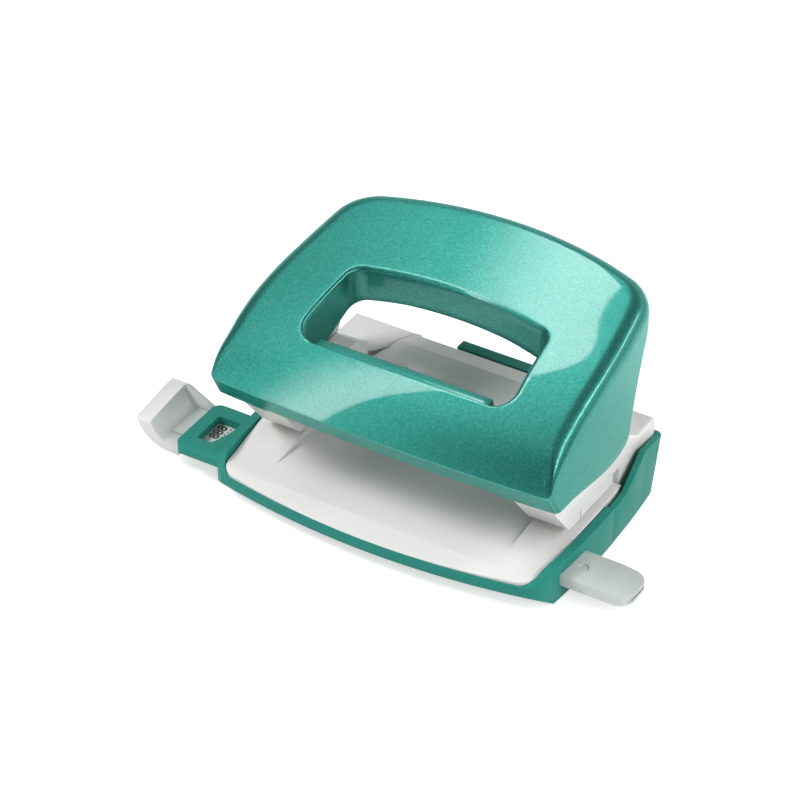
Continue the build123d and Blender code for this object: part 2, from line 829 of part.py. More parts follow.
with BuildPart() as head_body:
    for tower in both(side_prism(tower_outline, tower_inner_x, head_half_w)):
        add(tower)
    add(side_prism(middle_outline, -tower_inner_x - 1, tower_inner_x + 1))

with BuildPart() as lock_pocket:
    add(plan_prism(lock_plan(gap + head_wall), lock_floor_z - head_wall, shoulder_z))
    add(head_body.part, mode=Mode.INTERSECT)

with BuildPart() as punch_head:
    add(head_body.part)
    brow_edges = punch_head.edges().filter_by(Axis.X).filter_by_position(
        Axis.Z, head_top_z - 0.1, shoulder_z + 0.1).filter_by_position(
        Axis.Y, shoulder_end_y - 0.1, head_back_y + 0.1)
    fillet(brow_edges, 1.0)
    back_corners = punch_head.edges().filter_by_position(
        Axis.X, head_half_w - 0.1, head_half_w + 0.1) + punch_head.edges().filter_by_position(
        Axis.X, -head_half_w - 0.1, -head_half_w + 0.1)
    fillet(back_corners.filter_by_position(Axis.Z, head_top_z - 1.5, head_top_z + 0.1).filter_by_position(
        Axis.Y, head_top_y + 1, head_back_y), 0.9)
    for room in both(hollow_prism(tower_outline, tower_inner_x + head_wall, head_half_w - head_wall)):
        add(room, mode=Mode.SUBTRACT)
    add(hollow_prism(middle_outline, -tower_inner_x, tower_inner_x), mode=Mode.SUBTRACT)
    # Bulkheads in front of the springs, on the side away from the levers
    for wall_block in (
        block(tower_inner_x, tower_inner_x + head_wall, tower_brow_y, bulkhead_end_y,
              shoulder_z - head_wall, bulkhead_z),
        block(tower_inner_x, arm_inner_x - 0.6, tower_brow_y, tower_brow_y + head_wall,
              shoulder_z - head_wall, bulkhead_z),
    ):
        for side_block in both(wall_block):
            add(side_block)
    slots = (
        block(tower_inner_x + head_wall, ear_inner_x + ear_t, tower_brow_y + head_wall, pin_y,
              shoulder_z - 3, shoulder_z + 1),
        upright(pin_x, pin_y, shoulder_z - 3, shoulder_z + 1, cap_r + 0.5),
        block(ear_inner_x - gap, ear_inner_x + ear_t + gap, pivot_y - hub_r - ear_foot, pivot_y + hub_r + gap,
              frame_top - 1.0, shoulder_z + 1),
        upright(pin_x, pin_y, tower_z - 1, tower_z + head_wall + 0.1, pin_r + gap),
        block(unit_low_x - gap, unit_high_x + gap, throat_end_y - 1, throat_end_y + 3, frame_z - 1,
              frame_lower_top + seat),
        block(head_half_w - 0.6, head_half_w + 1, slit_y, slit_y + slit_w, tower_z - 1, tower_z + slit_h),
        block(head_half_w - head_wall - 0.5, head_half_w + 1, throat_end_y - gusset_h, throat_end_y,
              tower_z - 1, tower_z + gusset_h),
    )
    for slot in slots:
        for side_slot in both(slot):
            add(side_slot, mode=Mode.SUBTRACT)
    # Pocket for the lock slider, open at the side that it travels to
    add(lock_pocket.part)
    add(plan_prism(lock_plan(gap), lock_floor_z, shoulder_z + 1), mode=Mode.SUBTRACT)
    add(block(-head_half_w - 1, lock_left_x + 5, lock_front_y - gap, head_back_y + 1,
              head_top_z - lock_t - seat, shoulder_z + 1), mode=Mode.SUBTRACT)
    # Bosses for the housing's screws
    for side in (-1, 1):
        add(upright(side * head_screw_x, head_screw_y, frame_z, boss_top_z, screw_head_r + 0.6))
        add(upright(side * head_screw_x, head_screw_y, frame_z - 1, boss_top_z - head_wall, screw_r),
            mode=Mode.SUBTRACT)
save(punch_head.part, "punch_head")

# Lock slider: thumb plate that overhangs its pocket in front
with BuildPart() as lock_slider:
    add(plan_prism(lock_plan(0), head_top_z - lock_t, head_top_z))
    add(block(lock_left_x + lock_travel + 1, lock_left_x + lock_travel + 1 + lock_tongue_w,
              lock_front_y + 5, head_back_y - 1.5, lock_floor_z + seat / 2, head_top_z - lock_t))
    fillet(lock_slider.edges().group_by(Axis.Z)[-1], 0.4)
save(lock_slider.part, "lock_slider")

# Guide bar: channel with a flat top, thumb grip at the right and notches for the paper sizes
widest_paper = 297.0
paper_widths = (148.0, 210.0, 279.4, widest_paper)
four_hole_edge = widest_paper / 2 - 1.5 * hole_spacing
notch_travel = [0.0] + [width / 2 - hole_spacing / 2 - four_hole_edge for width in paper_widths]
notch_r = 0.8
detent_x = -12.0
web_under_z = guide_z - guide_web
channel = [
    (guide_front, guide_under_z),
    (guide_front + guide_runner, guide_under_z),
    (guide_front + guide_runner, web_under_z),
    (guide_back - guide_runner, web_under_z),
    (guide_back - guide_runner, guide_under_z),
    (guide_back, guide_under_z),
    (guide_back, guide_z),
    (guide_front, guide_z),
]
strip_left_x = view_left_x - 1.0
strip_y = (guide_front + 0.4, guide_front + 9.4)
with BuildPart() as guide_bar:
    add(side_prism(channel, guide_left_x, guide_right_x))
    add(block(guide_right_x - 2.2, guide_right_x, guide_front, guide_back, guide_under_z, guide_z))
    grip_corners = guide_bar.edges().filter_by(Axis.Z).group_by(Axis.X)[-1]
    fillet(grip_corners, 4.0)
    with BuildSketch(Plane.XZ.offset(-guide_front + 1)):
        with BuildLine():
            Polyline((grip_x, guide_z), (guide_right_x + 1, guide_z - grip_drop),
                     (guide_right_x + 1, guide_z + 1), (grip_x, guide_z + 1), close=True)
        make_face()
    extrude(amount=-guide_w - 2, mode=Mode.SUBTRACT)
    add(upright(grip_x - 7.7, guide_y - 0.4, guide_z - 0.35, guide_z + 1, 1.55), mode=Mode.SUBTRACT)
    add(block(strip_left_x, strip_end_x, *strip_y, guide_z - strip_t, guide_z + 1), mode=Mode.SUBTRACT)
    for travel in notch_travel:
        with BuildSketch(Plane.XZ.offset(-guide_front - guide_runner)):
            with Locations((detent_x + travel, web_under_z - 0.3)):
                Circle(notch_r)
        extrude(amount=-guide_w + 2 * guide_runner, mode=Mode.SUBTRACT)
save(guide_bar.part, "guide_bar")

# Format strip: printed film let into the bar's top
with BuildPart() as format_strip:
    add(block(strip_left_x, strip_end_x, *strip_y, guide_z - strip_t, guide_z))
save(format_strip.part, "format_strip")

# Edge stop: curled scoop on the bar's left end, with a web at the back
with BuildPart() as edge_stop:
    with BuildSketch(Plane.XZ.offset(-stop_front_y)):
        with BuildLine():
            inner_top_x = stop_left_x + stop_top_w
            ThreePointArc((stop_left_x, stop_back_z), (stop_left_x + 3.6, guide_under_z + 2.6),
                          (stop_right_x - 4.0, guide_under_z))
            Polyline((stop_right_x - 4.0, guide_under_z), (stop_right_x, guide_under_z),
                     (stop_right_x, guide_z - 0.8), (stop_right_x - 4.2, guide_z - 0.6))
            ThreePointArc((stop_right_x - 4.2, guide_z - 0.6), (inner_top_x + 1.9, guide_z + 1.4),
                          (inner_top_x, stop_back_z))
            Line((inner_top_x, stop_back_z), (stop_left_x, stop_back_z))
        make_face()
    extrude(amount=-(stop_back_y - stop_front_y))
    with BuildSketch(Plane.XZ.offset(-stop_back_y + 1.5)):
        with BuildLine():
            Polyline((inner_top_x - 1, stop_back_z), (inner_top_x, stop_back_z), (stop_right_x, guide_z + 1.3),
                     (stop_right_x, guide_under_z + 1), (inner_top_x - 1, guide_under_z + 4), close=True)
        make_face()
    extrude(amount=-1.5)
    with BuildSketch(Plane.YZ.offset(-wide)):
        with BuildLine():
            Polyline((stop_front_y - 1, stop_front_z), (stop_back_y + 1, stop_back_z + 0.1),
                     (stop_back_y + 1, stop_back_z + 5), (stop_front_y - 1, stop_back_z + 5), close=True)
        make_face()
    extrude(amount=wide, mode=Mode.SUBTRACT)
    rim_corners = edge_stop.edges().filter_by(Axis.X).filter_by_position(
        Axis.Z, stop_front_z - 0.4, stop_back_z + 1).filter_by(lambda edge: edge.length > stop_top_w / 2)
    fillet(rim_corners, 1.0)
    add(block(guide_left_x, 0, guide_front, guide_back, guide_under_z - 1, guide_z), mode=Mode.SUBTRACT)
save(edge_stop.part, "edge_stop")

# Detent: arched leaf spring between the rails, which clicks into the bar's notches
leaf_t = 0.4
leaf_top = web_under_z - 0.3 + notch_r - leaf_t / 2 - seat
with BuildPart() as detent_spring:
    with BuildSketch(Plane.XZ.offset(-guide_y + 2.5)):
        with BuildLine() as leaf:
            Polyline((detent_x - 10, floor_z + leaf_t / 2), (detent_x - 7, floor_z + leaf_t / 2),
                     (detent_x - 1.2, web_under_z - 0.7), (detent_x, leaf_top),
                     (detent_x + 1.2, web_under_z - 0.7), (detent_x + 7, floor_z + leaf_t / 2),
                     (detent_x + 10, floor_z + leaf_t / 2))
        trace(leaf.line, leaf_t)
    extrude(amount=-5)
save(detent_spring.part, "detent_spring")

# Chip drawer: back of the base with its leaning wall, and a tray that reaches in under the dies
drawer_front_y = seam_y + 0.15
wall_y_t = base_wall + 0.2
outer_side = [
    (drawer_front_y, base_z),
    (lean_y(base_z), base_z),
    (lean_y(tab_z + 1), tab_z + 1),
    (drawer_front_y, tab_z + 1),
]
inner_break_z = (wall_back_y + wall_y_t - lean_foot_y) / lean_slope
inner_side = [
    (drawer_front_y - 1, floor_z),
    (lean_y(floor_z) - wall_y_t, floor_z),
    (wall_back_y, inner_break_z),
    (wall_back_y, tab_z + 2),
    (drawer_front_y - 1, tab_z + 2),
]
tray_half_w = base_x(seam_y) - base_wall - 0.7 - gap
tray_top_z = deck_under_z - 0.2
drawer_plan = base_plan(0, 0, wall_back_y + 12, base_corner_r)
with BuildSketch() as mat_sketch:
    with Locations((0, (mat_front_y + mat_back_y) / 2)):
        RectangleRounded(2 * mat_half_w, mat_back_y - mat_front_y, mat_corner_r)
mat_plan = mat_sketch.sketch
with BuildPart() as drawer_room:
    add(side_prism(inner_side, -wide, wide))
    add(plan_prism(base_plan(base_wall, base_wall, wall_back_y + 12, base_corner_r - base_wall),
                   floor_z, tab_z + 2), mode=Mode.INTERSECT)
with BuildPart() as chip_drawer:
    add(side_prism(outer_side, -wide, wide))
    add(plan_prism(drawer_plan, base_z - 1, tab_z + 2), mode=Mode.INTERSECT)
    back_edges = chip_drawer.edges().filter_by_position(Axis.Y, lean_y(base_z) + 1, wall_back_y + 9).filter_by(
        lambda edge: abs(edge.center().X) > base_half_w - 6 and edge.length > 5)
    fillet(back_edges.sort_by(Axis.Y)[-2:], 2.5)
    add(drawer_room.part, mode=Mode.SUBTRACT)
    for low in both(side_prism(rim_line + [(wall_back_y + 9, 60), (base_front_y - 2, 60)],
                               tab_half_w, wide)):
        add(low, mode=Mode.SUBTRACT)
    add(block(-tab_half_w - 1, tab_half_w + 1, drawer_front_y, wide, tab_z, tab_z + 5), mode=Mode.SUBTRACT)
    add(block(-tray_half_w, tray_half_w, tray_front_y, drawer_front_y + 1, base_z, floor_z))
    add(block(-tray_half_w, tray_half_w, tray_front_y, tray_front_y + tray_wall, base_z, tray_top_z))
    for side_wall in both(block(tray_half_w - tray_wall, tray_half_w, tray_front_y, drawer_front_y + 1.5,
                                base_z, tray_top_z)):
        add(side_wall)
    add(plan_prism(mat_plan, base_z - 1, base_z + foot_sink), mode=Mode.SUBTRACT)
save(chip_drawer.part, "chip_drawer")

# Rubber let into the underside: two feet in front, and a grip mat on the drawer
with BuildPart() as front_feet:
    for foot_x in (-front_foot_x, front_foot_x):
        add(upright(foot_x, front_foot_y, 0, base_z + foot_sink, foot_r))
    fillet(front_feet.edges().group_by(Axis.Z)[0], foot_edge_r)
save(front_feet.part, "front_feet")

with BuildPart() as grip_mat:
    add(plan_prism(mat_plan, 0, base_z + foot_sink))
    fillet(grip_mat.edges().group_by(Axis.Z)[0], foot_edge_r)
save(grip_mat.part, "grip_mat")

# Countersunk screws up through the deck
with BuildPart() as unit_screws:
    for x, y in unit_screw_places:
        add(deck_screw(x, y, frame_lower_top))
save(unit_screws.part, "unit_screws")

with BuildPart() as head_screws:
    for side in (-1, 1):
        add(deck_screw(side * head_screw_x, head_screw_y, boss_top_z - head_wall - gap))
save(head_screws.part, "head_screws")
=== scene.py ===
"""Looks of the mini two-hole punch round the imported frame. The object's sizes are in millimetres."""

import json
from bisect import bisect_right
from math import acos, atan2, cos, hypot, pi, radians, sin, sqrt, tan

import bmesh
import bpy
from mathutils import Matrix, Vector


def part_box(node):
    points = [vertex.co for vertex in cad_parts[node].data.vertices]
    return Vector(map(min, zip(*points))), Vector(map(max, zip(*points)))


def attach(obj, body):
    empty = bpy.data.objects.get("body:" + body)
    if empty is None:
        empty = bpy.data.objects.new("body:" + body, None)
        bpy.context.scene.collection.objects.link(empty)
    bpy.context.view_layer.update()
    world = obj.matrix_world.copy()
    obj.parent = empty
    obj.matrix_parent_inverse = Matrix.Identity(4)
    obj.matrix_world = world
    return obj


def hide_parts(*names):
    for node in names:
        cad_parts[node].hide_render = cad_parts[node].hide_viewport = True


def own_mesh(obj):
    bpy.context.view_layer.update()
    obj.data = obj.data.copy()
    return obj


MM = 0.001
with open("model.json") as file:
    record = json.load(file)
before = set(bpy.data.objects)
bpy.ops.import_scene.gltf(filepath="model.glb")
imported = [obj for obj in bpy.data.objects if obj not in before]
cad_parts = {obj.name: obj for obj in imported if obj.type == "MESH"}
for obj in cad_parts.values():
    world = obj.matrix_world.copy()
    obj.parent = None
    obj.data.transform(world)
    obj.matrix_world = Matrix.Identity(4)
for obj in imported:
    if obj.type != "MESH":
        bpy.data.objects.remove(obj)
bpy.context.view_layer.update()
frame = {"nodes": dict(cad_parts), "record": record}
scene = bpy.context.scene
scene.view_settings.view_transform = "Standard"

# Camera, fitted to the photograph
EYE = (404.7, -682.05, 609.4)
AIM = (8.09, -30.0, 51.64)
FOCAL_PX = 3852.17
FRAME_PX = 800
SENSOR_MM = 36.0

# Colours, linear
TEAL_PAINT = (0.022, 0.200, 0.168)
TEAL_PAINT_PALE = (0.070, 0.370, 0.310)
PAINT_EDGE = (0.350, 0.880, 0.800)
TEAL_PLASTIC = (0.024, 0.235, 0.190)
WHITE_PLASTIC = (0.760, 0.755, 0.735)
GREY_PLASTIC = (0.560, 0.600, 0.575)
STRIP_FILM = (0.640, 0.690, 0.670)
INK = (0.012, 0.014, 0.014)
STEEL = (0.560, 0.565, 0.560)
TOOL_STEEL = (0.430, 0.430, 0.440)
SPRING_STEEL = (0.380, 0.390, 0.410)
RUBBER = (0.022, 0.022, 0.023)
ACETAL = (0.720, 0.715, 0.690)
FLOOR = (0.800, 0.800, 0.800)
FLAG_CLOTH = (0.020, 0.020, 0.020)

# Flakes in the lacquer: size, tilt, share that stays plain, palest mix, roughness, and rise in metres
FLAKES_PER_METRE = 3200.0
FLAKE_TILT = 0.06
FLAKE_PLAIN_SHARE = 0.20
FLAKE_PALEST = 0.45
FLAKE_ROUGH = (0.30, 0.42)
FLAKE_RISE = 0.00006

# Grain of mouldings and metals: broad shade and roughness, fine relief and its rise in metres
BROAD_PER_METRE = 60.0
BROAD_DETAIL = 3.0
BROAD_SHADE = 0.06
PLAIN_ROUGH = 0.35
GRAIN_PER_METRE = 2600.0
GRAIN_DETAIL = 2.0
GRAIN_DEPTH = 0.12
FINE_DEPTH = 0.05
RUBBER_DEPTH = 0.5
GRAIN_RISE = 0.00003
ROUGH_SPREAD = 0.08

# Floor and low backdrop in metres, their own light where they are seen, and the surround's light
FLOOR_HALF = 6.0
WALL_Y = 2.4
WALL_Z = 1.6
FLOOR_LIFT = 0.60
WORLD_LIGHT = 0.28

# Dark cloth in metres: its ends, and its foot and head as places along Y and Z
FLAG_X = (-1.6, 1.2)
FLAG_FOOT = (-1.1, 0.0)
FLAG_HEAD = (-0.9, 1.5)

# Lamps: place, aim and size in metres, power in watts, and whether reflections show them
LAMPS = (
    ("key", (-0.80, -0.40, 0.85), (0, 0, 0.03), (0.4, 0.4), 11.5, False),
    ("fill", (0.85, -0.25, 0.40), (0, 0, 0.02), (0.5, 0.5), 3.2, False),
    ("strip", (0.62, 0.08, 0.55), (0, 0.08, 0.05), (1.3, 0.07), 4.0, True),
)

# Bowed softbox in millimetres, with its right edge as turns from the front horizon in degrees, and x
SOFTBOX_EDGE = ((-2.0, -330.0), (12.7, -317.0), (44.0, -297.0), (61.6, -280.0), (74.5, -262.0),
                (84.0, -247.0), (109.6, -209.0), (122.7, -187.0), (138.0, -181.0))
SOFTBOX_Y = -20.0
SOFTBOX_Z = 50.0
SOFTBOX_R = 600.0
SOFTBOX_W = 90.0
SOFTBOX_FADE = 0.75
SOFTBOX_LIGHT = 12.0
SOFTBOX_ROWS = 64
SOFTBOX_COLUMNS = 10

# Skins of the CAD nodes: gap under which points merge, angle under which faces do, width of rounded edges
MERGE_GAP = 0.002
FLAT_ANGLE = radians(0.4)
EDGE_ROUND = 0.18

# Angle from which an edge is rounded and shaded sharp, and finer ones for nodes with flat creases
BEND_ANGLE = radians(28)
SHARP_ANGLES = {"paper_table": radians(8), "punch_head": radians(18), "guide_bar": radians(6)}

# Handle sheet: the sizes of the solid, with the real bend that grows from the lip's corners
SHEET = 1.2
CUT_EDGE_R = 0.2
CUT_ANGLE = radians(50)
HALF_W = 49.7
SIDE_R = 260.0
WIDE_Y = -15.5
BACK_Y = 43.8
BACK_BOW = 9.3
BOW_R = 700.0
LIP_Y = -29.9
LIP_Z = 35.7
BAND_LEAN = 0.537
DRAFT = 0.0297
DRAFT_Z = 49.7
LIP_CORNER_R = 1.8
BACK_CORNER_R = 14.0
LIP_BEND_R = 0.6
CORNER_BEND_R = 0.6
SIDE_BEND_R = 4.4
BACK_BEND_R = 5.0
BEND_GROWTH = 11.0
CROWN = ((0.0, 0.0), (2.6, 5.3), (11.5, 13.0), (23.4, 17.6), (42.0, 21.3), (62.0, 25.1), (82.0, 27.5))
SKIRT = ((-26.3, 29.4), (-24.0, 29.0), (-19.9, 28.3), (-10.7, 26.7), (-3.2, 26.1), (4.2, 26.5), (8.2, 28.0),
         (10.9, 31.2), (14.2, 36.0), (18.9, 42.4), (23.6, 48.2), (25.9, 51.0), (28.6, 54.0))
SKIRT_BACK_Z = 54.0
BAND_MID_Z = 30.1
BAND_END_Z = 29.3
BAND_STEP_X = 33.0
BAND_STEP_W = 0.8
LEAST_WALL = 0.3

# Finger window: its outline, rolled rim, and collar, which is deepest at the front corners
WINDOW_FRONT = (30.9, -17.0)
WINDOW_BACK = (28.6, 8.2)
WINDOW_BOW_Y = 12.0
WINDOW_R = 5.0
EDGE_R = 3000.0
RIM_R = 1.1
RIM_PULL = 0.55
COLLAR_BACK_H = 9.4
COLLAR_FRONT_H = 16.5
COLLAR_GROWS_Y = (11.0, -12.0)

# Fold at the window's front edge: a short hem, then the strip as places along Y and drops below the plate
HEM_H = 1.2
HEM_SPARE = 1.0
FOLD_HALF_W = 25.2
FOLD_Y = (-17.3, -13.7, -12.5)
FOLD_DROP = (0.95, 1.0, 4.4)
FOLD_EDGE_R = 0.35
FOLD_ANGLE = radians(20)
FOLD_COLUMNS = 24

# Stations round the handle's outline, and rings across its sheet
SEGMENTS = (("front", 44), ("lip corner", 10), ("side", 52), ("back corner", 24), ("back", 34))
COLLAR_RINGS = 5
BEND_RINGS = 8
PLATE_RINGS = 20
WALL_RINGS = 12

# Steps of the crown's curve, and the short way over which a slope is taken
CURVE_STEPS = 3000
NEAR = 0.05

# Search for the crease between wall and plate, from below the lip to above the crown
BELOW_LIP = 1.0
ABOVE_CROWN = 2.0
HALVINGS = 40

# Springs: the return springs' wire and joints, their turns, and the steps and sides of the coil's mesh
COIL_JOINTS = {"return_spring_left": "pin_left_slide", "return_spring_right": "pin_right_slide"}
SPRING_WIRE_R = 0.4
SPRING_TURNS = 4.0
COIL_STEPS = 40
WIRE_SIDES = 12

# Print on the format strip
STRIP_TOP_Z = 8.06
DIGITS_AT = (-56.0, -15.9)
DIGITS_SIZE = 3.9
DIGITS_WEIGHT = 0.07
DIGITS_RISE = 0.02
STRIP_LABELS = ("888", "777", "666", "555", "444")
STRIP_STEP = 20.0
DASH_FIRST = (-54.1, -17.4)
DASH_STEP = (0.1, 1.3)
DASH_COUNT = 4
DASH_LENGTH = 0.7
DASH_WIDTH = 0.3

# Sockets of a Mix node that mixes colours
MIX_ONE = 6
MIX_TWO = 7
MIX_RESULT = 2


def new_object(name, data):
    """An object for a mesh, curve, lamp or camera, linked to the scene."""
    made = bpy.data.objects.new(name, data)
    scene.collection.objects.link(made)
    return made


def new_piece(name, points, faces):
    """An object with a mesh of points and faces."""
    mesh = bpy.data.meshes.new(name)
    mesh.from_pydata(points, [], faces)
    return new_object(name, mesh)


def grid_faces(lines, across, closed=False):
    """Faces between each line of points and the next one, and from the last to the first if closed."""
    faces = []
    for i in range(lines if closed else lines - 1):
        here = i * across
        after = (i + 1) % lines * across
        faces += [(here + k, here + k + 1, after + k + 1, after + k) for k in range(across - 1)]
    return faces


def add_node(tree, kind, inputs=None, **settings):
    """A node with its settings, whose inputs are linked to a socket or set to a value."""
    node = tree.nodes.new(kind)
    for name, value in settings.items():
        setattr(node, name, value)
    for label, source in (inputs or {}).items():
        if isinstance(source, bpy.types.NodeSocket):
            tree.links.new(source, node.inputs[label])
        else:
            node.inputs[label].default_value = source
    return node


def calculate(tree, operation, *sources):
    """A maths node's result from numbers or sockets."""
    return add_node(tree, "ShaderNodeMath", dict(enumerate(sources)), operation=operation).outputs["Value"]


def new_material(name, values):
    """A material, its node tree and its Principled shader, with the shader's own sockets set."""
    material = bpy.data.materials.new(name)
    material.use_nodes = True
    shader = material.node_tree.nodes["Principled BSDF"]
    for label, value in values.items():
        shader.inputs[label].default_value = value
    return material, material.node_tree, shader


def finish_group(name, inputs):
    """A shader group with named inputs, which gives a colour, a roughness and a normal."""
    tree = bpy.data.node_groups.new(name, "ShaderNodeTree")
    for label, value in inputs.items():
        kind = "NodeSocketColor" if isinstance(value, tuple) else "NodeSocketFloat"
        socket = tree.interface.new_socket(label, in_out="INPUT", socket_type=kind)
        socket.default_value = value
    tree.interface.new_socket("Colour", in_out="OUTPUT", socket_type="NodeSocketColor")
    tree.interface.new_socket("Roughness", in_out="OUTPUT", socket_type="NodeSocketFloat")
    tree.interface.new_socket("Normal", in_out="OUTPUT", socket_type="NodeSocketVector")
    return tree, tree.nodes.new("NodeGroupInput").outputs


def flake_group():
    """Metal flakes under clear lacquer: each cell has its own brightness, gloss and tilt."""
    tree, given = finish_group("flake_paint", {
        "Colour": (*TEAL_PAINT, 1),
        "Pale": (*TEAL_PAINT_PALE, 1),
        "Cells per metre": FLAKES_PER_METRE,
        "Tilt": FLAKE_TILT,
    })
    place = add_node(tree, "ShaderNodeTexCoord").outputs["Object"]
    cells = add_node(tree, "ShaderNodeTexVoronoi", {"Vector": place, "Scale": given["Cells per metre"]})
    split = add_node(tree, "ShaderNodeSeparateColor", {"Color": cells.outputs["Color"]}).outputs
    pale = add_node(tree, "ShaderNodeMapRange", {
        "Value": split["Red"], "From Min": FLAKE_PLAIN_SHARE, "To Max": FLAKE_PALEST})
    tint = add_node(tree, "ShaderNodeMix", {
        "Factor": pale.outputs["Result"], MIX_ONE: given["Colour"], MIX_TWO: given["Pale"],
    }, data_type="RGBA")
    rough = add_node(tree, "ShaderNodeMapRange", {
        "Value": split["Green"], "To Min": FLAKE_ROUGH[0], "To Max": FLAKE_ROUGH[1]})
    bump = add_node(tree, "ShaderNodeBump", {
        "Strength": given["Tilt"], "Distance": FLAKE_RISE, "Height": split["Blue"]})
    add_node(tree, "NodeGroupOutput", {
        "Colour": tint.outputs[MIX_RESULT], "Roughness": rough.outputs["Result"],
        "Normal": bump.outputs["Normal"]})
    return tree


def grain_group():
    """Fine texture and slight unevenness of a moulded, plated or ground surface."""
    tree, given = finish_group("moulded_grain", {
        "Colour": (*WHITE_PLASTIC, 1),
        "Shade": BROAD_SHADE,
        "Grain per metre": GRAIN_PER_METRE,
        "Depth": GRAIN_DEPTH,
        "Roughness": PLAIN_ROUGH,
        "Spread": ROUGH_SPREAD,
    })
    place = add_node(tree, "ShaderNodeTexCoord").outputs["Object"]
    broad = add_node(tree, "ShaderNodeTexNoise", {
        "Vector": place, "Scale": BROAD_PER_METRE, "Detail": BROAD_DETAIL}).outputs["Fac"]
    fine = add_node(tree, "ShaderNodeTexNoise", {
        "Vector": place, "Scale": given["Grain per metre"], "Detail": GRAIN_DETAIL}).outputs["Fac"]
    shaded = add_node(tree, "ShaderNodeMix", {
        "Factor": calculate(tree, "MULTIPLY", broad, given["Shade"]),
        MIX_ONE: given["Colour"], MIX_TWO: (0.0, 0.0, 0.0, 1),
    }, data_type="RGBA", blend_type="MULTIPLY")
    rough = calculate(tree, "MULTIPLY_ADD", broad, given["Spread"], given["Roughness"])
    bump = add_node(tree, "ShaderNodeBump", {
        "Strength": given["Depth"], "Distance": GRAIN_RISE, "Height": fine})
    add_node(tree, "NodeGroupOutput", {
        "Colour": shaded.outputs[MIX_RESULT], "Roughness": rough, "Normal": bump.outputs["Normal"]})
    return tree


def dressed_material(name, group_tree, group_values, own_values):
    """A Principled material whose colour, roughness and normal come from a finish group."""
    material, tree, shader = new_material(name, own_values)
    group = add_node(tree, "ShaderNodeGroup", group_values, node_tree=group_tree).outputs
    tree.links.new(group["Colour"], shader.inputs["Base Color"])
    tree.links.new(group["Roughness"], shader.inputs["Roughness"])
    tree.links.new(group["Normal"], shader.inputs["Normal"])
    return material


def make_materials():
    """Every finish on the object, by the record's slot names, and the print's ink."""
    grain = grain_group()
    metal = {"Metallic": 1.0}
    matt = {"Specular IOR Level": 0.12}
    lacquer = {
        "Metallic": 0.85,
        "Coat Weight": 0.5,
        "Coat Roughness": 0.03,
        "Specular Tint": (*PAINT_EDGE, 1),
    }

    def grained(name, colour, rough, depth=GRAIN_DEPTH, own=None):
        """A material with the grain group's texture."""
        return dressed_material(name, grain, {"Colour": (*colour, 1), "Roughness": rough, "Depth": depth},
                                own or {})

    return {
        "handle_paint": dressed_material("flake_lacquer", flake_group(), {}, lacquer),
        "base_plastic": grained("teal_moulding", TEAL_PLASTIC, 0.42, own=matt),
        "white_plastic": grained("white_moulding", WHITE_PLASTIC, 0.32),
        "grey_plastic": grained("grey_moulding", GREY_PLASTIC, 0.30),
        "strip_film": grained("printed_film", STRIP_FILM, 0.40, FINE_DEPTH),
        "print_ink": grained("print_ink", INK, 0.45, FINE_DEPTH),
        "plated_steel": grained("zinc_plate", STEEL, 0.32, own=metal),
        "tool_steel": grained("ground_steel", TOOL_STEEL, 0.26, own=metal),
        "spring_steel": grained("spring_wire", SPRING_STEEL, 0.30, FINE_DEPTH, own=metal),
        "cap_plastic": grained("acetal", ACETAL, 0.30),
        "foot_rubber": grained("black_rubber", RUBBER, 0.62, RUBBER_DEPTH),
    }


def round_edges(piece, width, angle, segments=2):
    """A bevel on the edges that turn by more than an angle."""
    bevel = piece.modifiers.new("round", "BEVEL")
    bevel.width = width * MM
    bevel.segments = segments
    bevel.limit_method = "ANGLE"
    bevel.angle_limit = angle


def thicken(piece, offset):
    """Gives a skin the thickness of the handle's sheet, on the side of the offset."""
    sheet = piece.modifiers.new("sheet", "SOLIDIFY")
    sheet.thickness = SHEET * MM
    sheet.offset = offset


def finished_mesh(piece):
    """A mesh of the piece as its modifiers or its curve show it."""
    return bpy.data.meshes.new_from_object(piece.evaluated_get(bpy.context.evaluated_depsgraph_get()))


def bake_modifiers(piece, sharp_angle=BEND_ANGLE):
    """Turns a piece's modifiers into its mesh, smooth but for its sharp edges."""
    finished = finished_mesh(piece)
    finished.name = piece.name
    piece.modifiers.clear()
    piece.data = finished
    for polygon in finished.polygons:
        polygon.use_smooth = True
    finished.set_sharp_from_angle(angle=sharp_angle)
    return piece


def smooth_copy(node):
    """A merged, smooth-shaded copy of a CAD node with softly rounded edges."""
    mesh = frame["nodes"][node].data.copy()
    work = bmesh.new()
    work.from_mesh(mesh)
    bmesh.ops.remove_doubles(work, verts=work.verts, dist=MERGE_GAP * MM)
    bmesh.ops.dissolve_limit(work, angle_limit=FLAT_ANGLE, verts=work.verts, edges=work.edges,
                             delimit={"NORMAL"})
    bmesh.ops.recalc_face_normals(work, faces=work.faces)
    for face in work.faces:
        face.smooth = True
    work.to_mesh(mesh)
    work.free()
    mesh.materials.clear()
    piece = new_object(node + "_skin", mesh)
    round_edges(piece, EDGE_ROUND, BEND_ANGLE)
    return bake_modifiers(piece, SHARP_ANGLES.get(node, BEND_ANGLE))


def clamp(value):
    """The value, held between 0 and 1."""
    return max(0.0, min(1.0, value))


